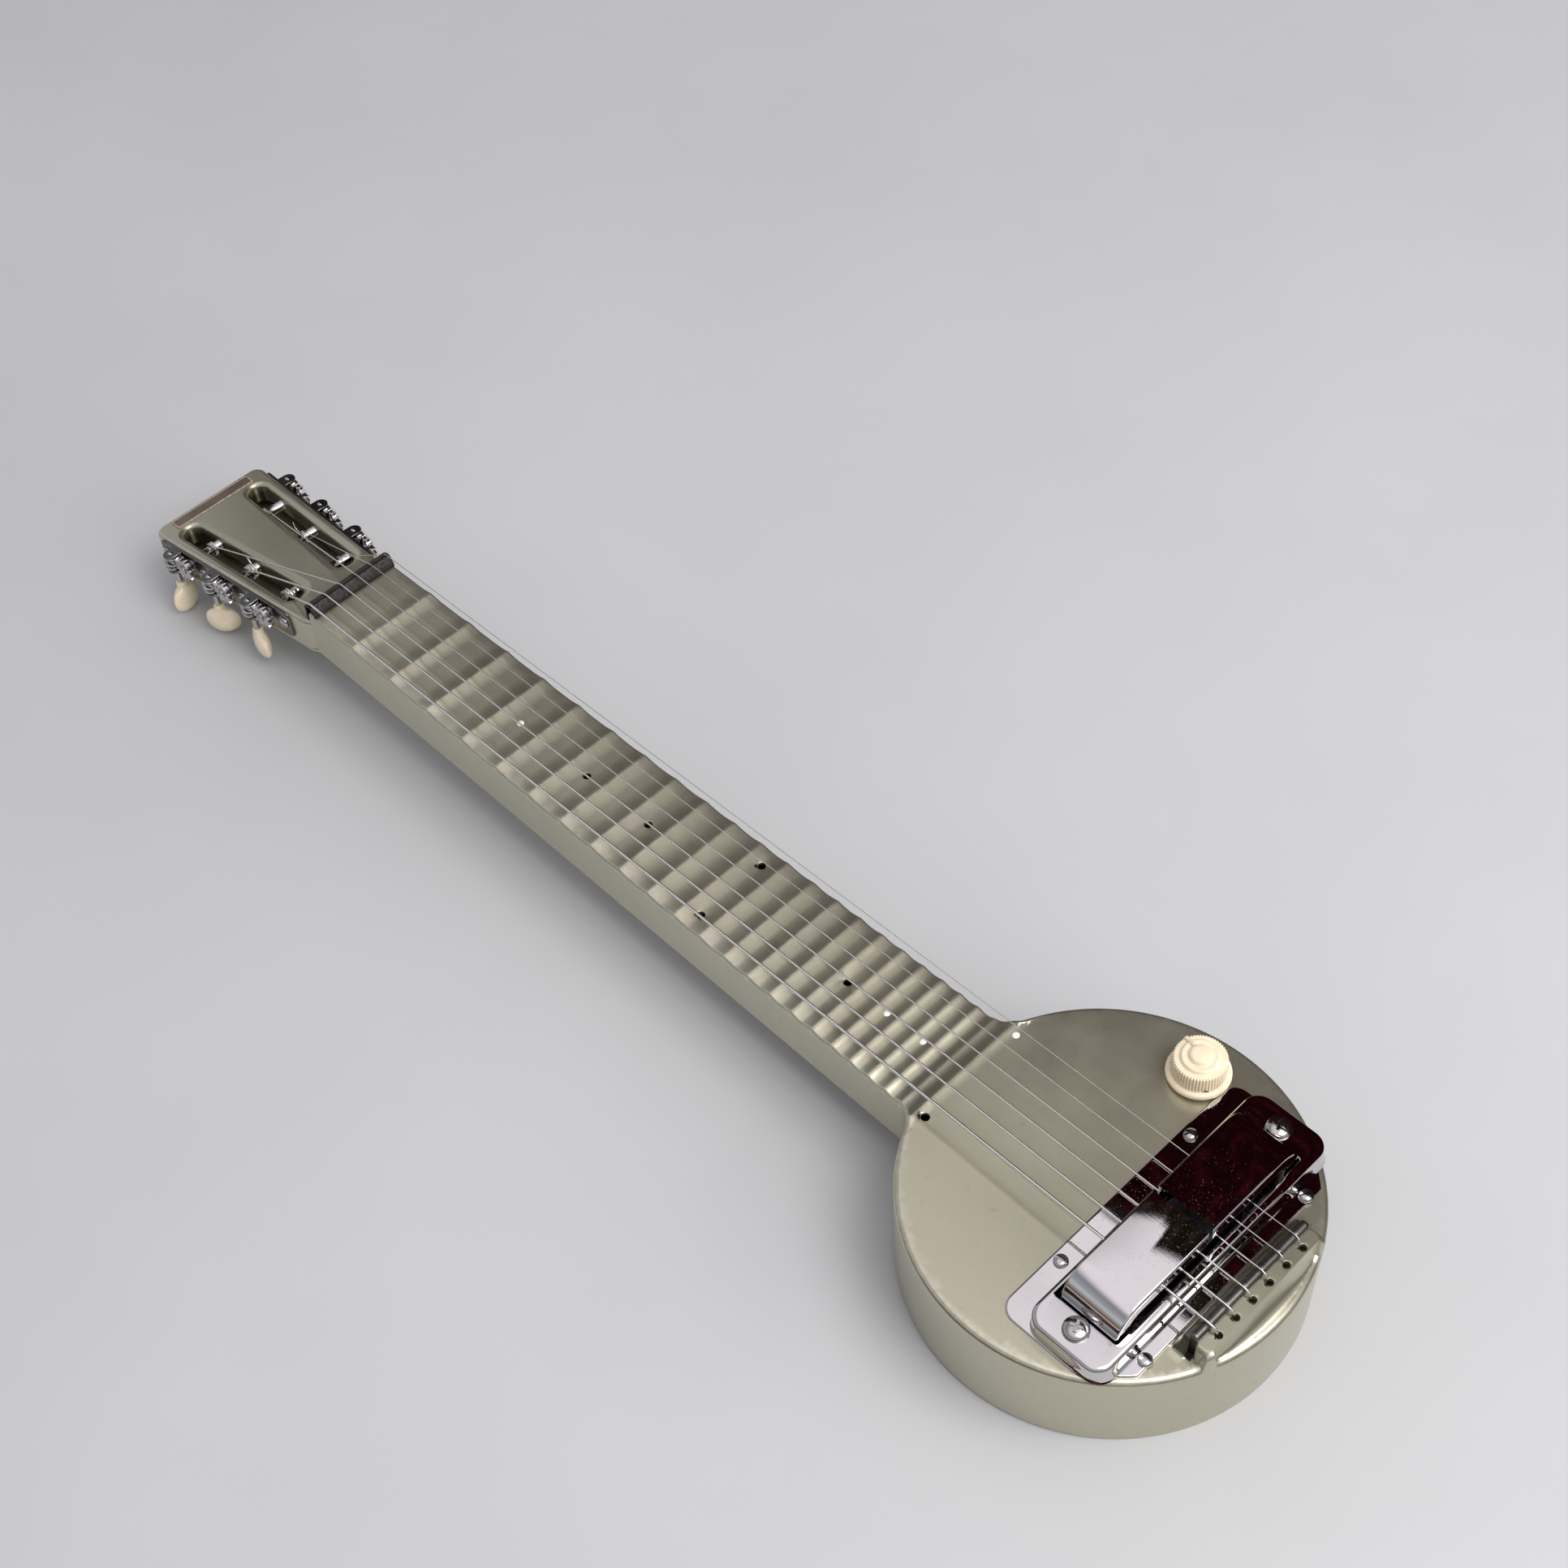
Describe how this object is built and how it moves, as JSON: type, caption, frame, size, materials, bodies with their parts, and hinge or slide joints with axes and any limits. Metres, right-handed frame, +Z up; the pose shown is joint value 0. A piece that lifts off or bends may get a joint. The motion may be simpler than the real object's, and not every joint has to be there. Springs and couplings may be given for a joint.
{
  "type": "electric lap steel guitar",
  "caption": "Hollow stamped-metal lap steel guitar with a round body, ridged fretboard, horseshoe-magnet pickup, bridge rod and open worm-gear tuners.",
  "frame": {"origin": "middle of the guitar's box at table height, resting on the tail edge of the back plate and on the two lowest tuner buttons", "axes": "+X from the headstock to the tail, +Y to the treble side with the volume knob, +Z up from the table"},
  "size_m": [0.7239, 0.178, 0.0734],
  "materials": {
    "body_paint": "satin grey-beige lacquer on sheet steel",
    "black_paint": "satin black enamel",
    "chrome": "bright chrome plate, lightly worn",
    "nickel": "bright nickel plate",
    "dark_steel": "dark aged steel",
    "cream_plastic": "aged cream celluloid, polished",
    "white_plastic": "white enamel dot",
    "bronze_plate": "satin bronze enamel",
    "black_fibre": "black vulcanised fibre",
    "copper": "enamelled copper wire",
    "brass": "dull brass",
    "string_steel": "plain and wound steel string"
  },
  "bodies": {
    "root": {"body_shell": "body_paint", "body_wall": "body_paint", "back_plate": "body_paint", "neck_back_cover": "body_paint", "back_plate_lugs": "dark_steel", "tuner_strip_bass": "dark_steel", "tuner_strip_treble": "dark_steel", "bridge_rod": "dark_steel", "back_plate_screws": "nickel", "tuner_strip_screws": "nickel", "base_plate_screws": "nickel", "cover_screws": "nickel", "pole_pieces": "nickel", "pot_nut": "nickel", "jack_nut": "nickel", "nut": "black_paint", "fret_marker_dots": "white_plastic", "nameplate": "bronze_plate", "string_1": "string_steel", "string_2": "string_steel", "string_3": "string_steel", "string_4": "string_steel", "string_5": "string_steel", "string_6": "string_steel", "string_ball_ends": "brass", "volume_pot": "brass", "output_jack": "brass", "pickup_base_plate": "chrome", "pickup_cover": "chrome", "magnet_bass": "chrome", "magnet_treble": "chrome", "coil_bobbin": "black_fibre", "wiring": "black_fibre", "coil_winding": "copper"},
    "tuner_key_1": {"tuner_worm_1": "nickel", "tuner_button_1": "cream_plastic"},
    "string_roller_1": {"tuner_post_1": "nickel", "tuner_gear_1": "nickel"},
    "tuner_key_2": {"tuner_worm_2": "nickel", "tuner_button_2": "cream_plastic"},
    "string_roller_2": {"tuner_post_2": "nickel", "tuner_gear_2": "nickel"},
    "tuner_key_3": {"tuner_worm_3": "nickel", "tuner_button_3": "cream_plastic"},
    "string_roller_3": {"tuner_post_3": "nickel", "tuner_gear_3": "nickel"},
    "tuner_key_4": {"tuner_worm_4": "nickel", "tuner_button_4": "cream_plastic"},
    "string_roller_4": {"tuner_post_4": "nickel", "tuner_gear_4": "nickel"},
    "tuner_key_5": {"tuner_worm_5": "nickel", "tuner_button_5": "cream_plastic"},
    "string_roller_5": {"tuner_post_5": "nickel", "tuner_gear_5": "nickel"},
    "tuner_key_6": {"tuner_worm_6": "nickel", "tuner_button_6": "cream_plastic"},
    "string_roller_6": {"tuner_post_6": "nickel", "tuner_gear_6": "nickel"},
    "volume_control": {"volume_knob": "cream_plastic", "pot_shaft": "nickel"}
  },
  "joints": [
    {"name": "key_turn_1", "type": "hinge", "parent": "root", "child": "tuner_key_1", "pos_m": [-0.27493, -0.03497, 0.03847], "axis": [-0.0938, 0, 0.9956], "continuous": true},
    {"name": "roller_turn_1", "type": "hinge", "parent": "root", "child": "string_roller_1", "pos_m": [-0.2647, -0.03432, 0.03943], "axis": [0.0623, -0.998, 0.0059], "continuous": true},
    {"name": "key_turn_2", "type": "hinge", "parent": "root", "child": "tuner_key_2", "pos_m": [-0.30729, -0.03701, 0.03542], "axis": [-0.0938, 0, 0.9956], "continuous": true},
    {"name": "roller_turn_2", "type": "hinge", "parent": "root", "child": "string_roller_2", "pos_m": [-0.29705, -0.03636, 0.03638], "axis": [0.0623, -0.998, 0.0059], "continuous": true},
    {"name": "key_turn_3", "type": "hinge", "parent": "root", "child": "tuner_key_3", "pos_m": [-0.33964, -0.03905, 0.03237], "axis": [-0.0938, 0, 0.9956], "continuous": true},
    {"name": "roller_turn_3", "type": "hinge", "parent": "root", "child": "string_roller_3", "pos_m": [-0.32941, -0.0384, 0.03334], "axis": [0.0623, -0.998, 0.0059], "continuous": true},
    {"name": "key_turn_4", "type": "hinge", "parent": "root", "child": "tuner_key_4", "pos_m": [-0.33964, 0.03905, 0.03237], "axis": [-0.0938, 0, 0.9956], "continuous": true},
    {"name": "roller_turn_4", "type": "hinge", "parent": "root", "child": "string_roller_4", "pos_m": [-0.32941, 0.0384, 0.03334], "axis": [0.0623, 0.998, 0.0059], "continuous": true},
    {"name": "key_turn_5", "type": "hinge", "parent": "root", "child": "tuner_key_5", "pos_m": [-0.30729, 0.03701, 0.03542], "axis": [-0.0938, 0, 0.9956], "continuous": true},
    {"name": "roller_turn_5", "type": "hinge", "parent": "root", "child": "string_roller_5", "pos_m": [-0.29705, 0.03636, 0.03638], "axis": [0.0623, 0.998, 0.0059], "continuous": true},
    {"name": "key_turn_6", "type": "hinge", "parent": "root", "child": "tuner_key_6", "pos_m": [-0.27493, 0.03497, 0.03847], "axis": [-0.0938, 0, 0.9956], "continuous": true},
    {"name": "roller_turn_6", "type": "hinge", "parent": "root", "child": "string_roller_6", "pos_m": [-0.2647, 0.03432, 0.03943], "axis": [0.0623, 0.998, 0.0059], "continuous": true},
    {"name": "volume_turn", "type": "hinge", "parent": "root", "child": "volume_control", "pos_m": [0.26493, 0.0669, 0.05299], "axis": [0.0206, 0, 0.9998], "range_deg": [-270, 30]}
  ],
  "couplings": [
    {"joint": "roller_turn_1", "follows": "key_turn_1", "ratio": -0.071429},
    {"joint": "roller_turn_2", "follows": "key_turn_2", "ratio": -0.071429},
    {"joint": "roller_turn_3", "follows": "key_turn_3", "ratio": -0.071429},
    {"joint": "roller_turn_4", "follows": "key_turn_4", "ratio": -0.071429},
    {"joint": "roller_turn_5", "follows": "key_turn_5", "ratio": -0.071429},
    {"joint": "roller_turn_6", "follows": "key_turn_6", "ratio": -0.071429}
  ]
}
